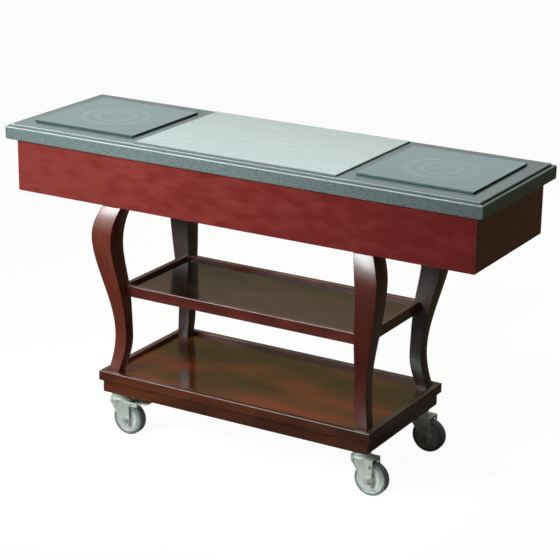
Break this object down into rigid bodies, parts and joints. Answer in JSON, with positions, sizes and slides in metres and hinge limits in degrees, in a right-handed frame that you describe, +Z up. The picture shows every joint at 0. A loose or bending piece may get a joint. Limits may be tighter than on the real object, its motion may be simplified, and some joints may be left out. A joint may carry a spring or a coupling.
{
  "type": "induction cooking cart",
  "caption": "Long catering trolley with glass induction hobs and a stainless landing plate let into a thick worktop, on curved legs with shelves and swivel casters.",
  "frame": {"origin": "on the floor under the middle of the worktop", "axes": "+X along the worktop to the right as seen from the front, +Y from the front to the back, +Z up"},
  "size_m": [1.539, 0.484, 0.92],
  "materials": {
    "solid_surface": "polished charcoal granite-effect composite",
    "plywood": "plain birch plywood",
    "lacquered_wood": "mahogany stain under gloss lacquer",
    "stainless": "fine brushed stainless sheet",
    "ceramic_glass": "polished black glass ceramic",
    "seal": "black silicone seal",
    "galvanised": "galvanised sheet",
    "aluminium": "mill finish sheet",
    "copper": "varnished copper litz wire",
    "circuit_board": "green resin board with its components",
    "black_plastic": "moulded black plastic",
    "grey_plastic": "moulded grey plastic",
    "cable_jacket": "black rubber jacket",
    "zinc_steel": "zinc-plated pressed steel",
    "bolt_steel": "zinc-plated bolt steel",
    "hub_plastic": "moulded light grey hub",
    "tread_rubber": "dark grey rubber"
  },
  "bodies": {
    "cart": {"worktop_slab": "solid_surface", "subtop_board": "plywood", "centre_plate": "stainless", "carcass_floor": "plywood", "power_inlet": "black_plastic", "junction_box": "grey_plastic", "supply_leads": "cable_jacket", "leg_fasteners": "bolt_steel", "mid_shelf_panel": "lacquered_wood", "mid_shelf_long_rails": "lacquered_wood", "mid_shelf_end_rails": "lacquered_wood", "base_panel": "lacquered_wood", "base_long_rails": "lacquered_wood", "base_end_rails": "lacquered_wood", "plinth_long_boards": "lacquered_wood", "plinth_end_boards": "lacquered_wood", "caster_blocks": "plywood", "caster_stems": "zinc_steel", "hob_glass_left": "ceramic_glass", "hob_trim_left": "seal", "hob_housing_left": "galvanised", "coil_carrier_left": "aluminium", "induction_coil_left": "copper", "power_board_left": "circuit_board", "fan_frame_left": "black_plastic", "hob_glass_right": "ceramic_glass", "hob_trim_right": "seal", "hob_housing_right": "galvanised", "coil_carrier_right": "aluminium", "induction_coil_right": "copper", "power_board_right": "circuit_board", "fan_frame_right": "black_plastic", "apron_front": "lacquered_wood", "apron_back": "lacquered_wood", "apron_left": "lacquered_wood", "apron_right": "lacquered_wood", "leg_front_left": "lacquered_wood", "leg_front_right": "lacquered_wood", "leg_back_left": "lacquered_wood", "leg_back_right": "lacquered_wood"},
    "fan_left": {"fan_rotor_left": "black_plastic"},
    "fan_right": {"fan_rotor_right": "black_plastic"},
    "swivel_front_left": {"caster_fork_front_left": "zinc_steel", "axle_bolt_front_left": "bolt_steel"},
    "wheel_front_left": {"wheel_hub_front_left": "hub_plastic", "tyre_front_left": "tread_rubber"},
    "pedal_front_left": {"brake_pedal_front_left": "zinc_steel"},
    "swivel_front_right": {"caster_fork_front_right": "zinc_steel", "axle_bolt_front_right": "bolt_steel"},
    "wheel_front_right": {"wheel_hub_front_right": "hub_plastic", "tyre_front_right": "tread_rubber"},
    "swivel_back_left": {"caster_fork_back_left": "zinc_steel", "axle_bolt_back_left": "bolt_steel"},
    "wheel_back_left": {"wheel_hub_back_left": "hub_plastic", "tyre_back_left": "tread_rubber"},
    "pedal_back_left": {"brake_pedal_back_left": "zinc_steel"},
    "swivel_back_right": {"caster_fork_back_right": "zinc_steel", "axle_bolt_back_right": "bolt_steel"},
    "wheel_back_right": {"wheel_hub_back_right": "hub_plastic", "tyre_back_right": "tread_rubber"}
  },
  "joints": [
    {"name": "fan_left_spin", "type": "hinge", "parent": "cart", "child": "fan_left", "pos_m": [-0.631, -0.095, 0.84], "axis": [0, 0, 1], "continuous": true},
    {"name": "fan_right_spin", "type": "hinge", "parent": "cart", "child": "fan_right", "pos_m": [0.441, -0.095, 0.84], "axis": [0, 0, 1], "continuous": true},
    {"name": "front_left_swivel", "type": "hinge", "parent": "cart", "child": "swivel_front_left", "pos_m": [-0.41, -0.1812, 0.11], "axis": [0, 0, 1], "continuous": true},
    {"name": "front_left_roll", "type": "hinge", "parent": "swivel_front_left", "child": "wheel_front_left", "pos_m": [-0.377, -0.1812, 0.05], "axis": [0, 1, 0], "continuous": true},
    {"name": "front_left_brake", "type": "hinge", "parent": "swivel_front_left", "child": "pedal_front_left", "pos_m": [-0.345, -0.1812, 0.104], "axis": [0, 1, 0], "range_deg": [0, 18]},
    {"name": "front_right_swivel", "type": "hinge", "parent": "cart", "child": "swivel_front_right", "pos_m": [0.41, -0.1812, 0.11], "axis": [0, 0, 1], "continuous": true},
    {"name": "front_right_roll", "type": "hinge", "parent": "swivel_front_right", "child": "wheel_front_right", "pos_m": [0.443, -0.1812, 0.05], "axis": [0, 1, 0], "continuous": true},
    {"name": "back_left_swivel", "type": "hinge", "parent": "cart", "child": "swivel_back_left", "pos_m": [-0.41, 0.1812, 0.11], "axis": [0, 0, 1], "continuous": true},
    {"name": "back_left_roll", "type": "hinge", "parent": "swivel_back_left", "child": "wheel_back_left", "pos_m": [-0.377, 0.1812, 0.05], "axis": [0, 1, 0], "continuous": true},
    {"name": "back_left_brake", "type": "hinge", "parent": "swivel_back_left", "child": "pedal_back_left", "pos_m": [-0.345, 0.1812, 0.104], "axis": [0, 1, 0], "range_deg": [0, 18]},
    {"name": "back_right_swivel", "type": "hinge", "parent": "cart", "child": "swivel_back_right", "pos_m": [0.41, 0.1812, 0.11], "axis": [0, 0, 1], "continuous": true},
    {"name": "back_right_roll", "type": "hinge", "parent": "swivel_back_right", "child": "wheel_back_right", "pos_m": [0.443, 0.1812, 0.05], "axis": [0, 1, 0], "continuous": true}
  ]
}
